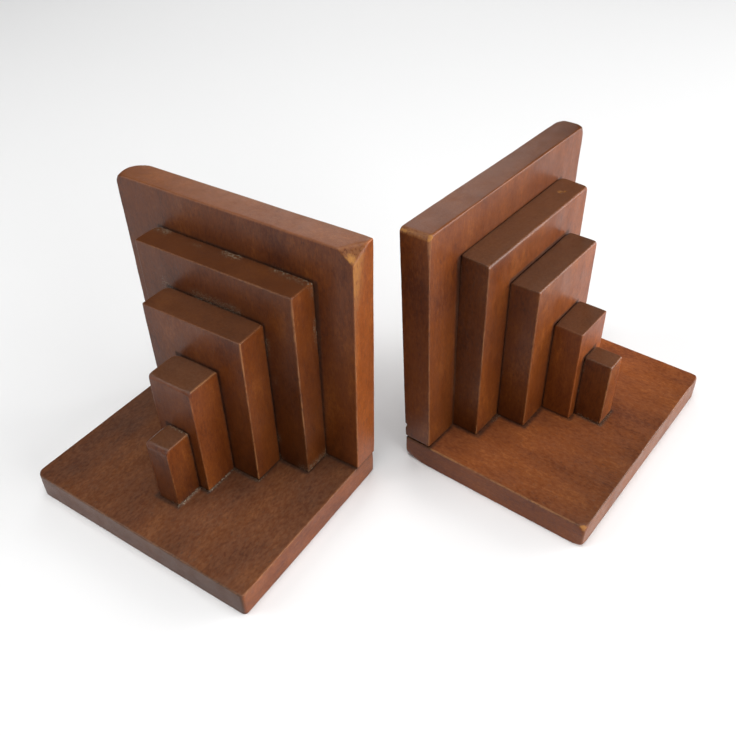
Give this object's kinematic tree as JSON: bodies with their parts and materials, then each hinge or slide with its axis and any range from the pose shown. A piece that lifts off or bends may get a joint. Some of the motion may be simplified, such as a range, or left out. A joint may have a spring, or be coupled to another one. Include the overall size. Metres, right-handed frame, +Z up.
{
  "type": "book ends",
  "caption": "Matched wooden book ends, each with an upright back board on a flat base and blocks that step down in front of it.",
  "frame": {"origin": "on the shelf, under the middle of the pair's box", "axes": "+Z up; +X from the left book end to the right one; the V between their backs opens towards +Y and the steps face -Y"},
  "size_m": [0.3304, 0.1656, 0.1305],
  "materials": {
    "mahogany": "stained reddish brown, satin, rubbed pale at the corners",
    "screw_steel": "dull plain steel"
  },
  "bodies": {
    "left_book_end": {"left_back_board": "mahogany", "left_back_board_screws": "screw_steel", "left_base_board": "mahogany", "left_step_block_1": "mahogany", "left_step_block_2": "mahogany", "left_step_block_3": "mahogany", "left_step_block_4": "mahogany", "left_step_block_screws": "screw_steel"},
    "right_book_end": {"right_back_board": "mahogany", "right_back_board_screws": "screw_steel", "right_base_board": "mahogany", "right_step_block_1": "mahogany", "right_step_block_2": "mahogany", "right_step_block_3": "mahogany", "right_step_block_4": "mahogany", "right_step_block_screws": "screw_steel"}
  },
  "joints": [
    {"name": "right_book_end_spread", "type": "slide", "parent": "left_book_end", "child": "right_book_end", "axis": [1, 0, 0], "range_m": [-0.012, 0.3]}
  ]
}
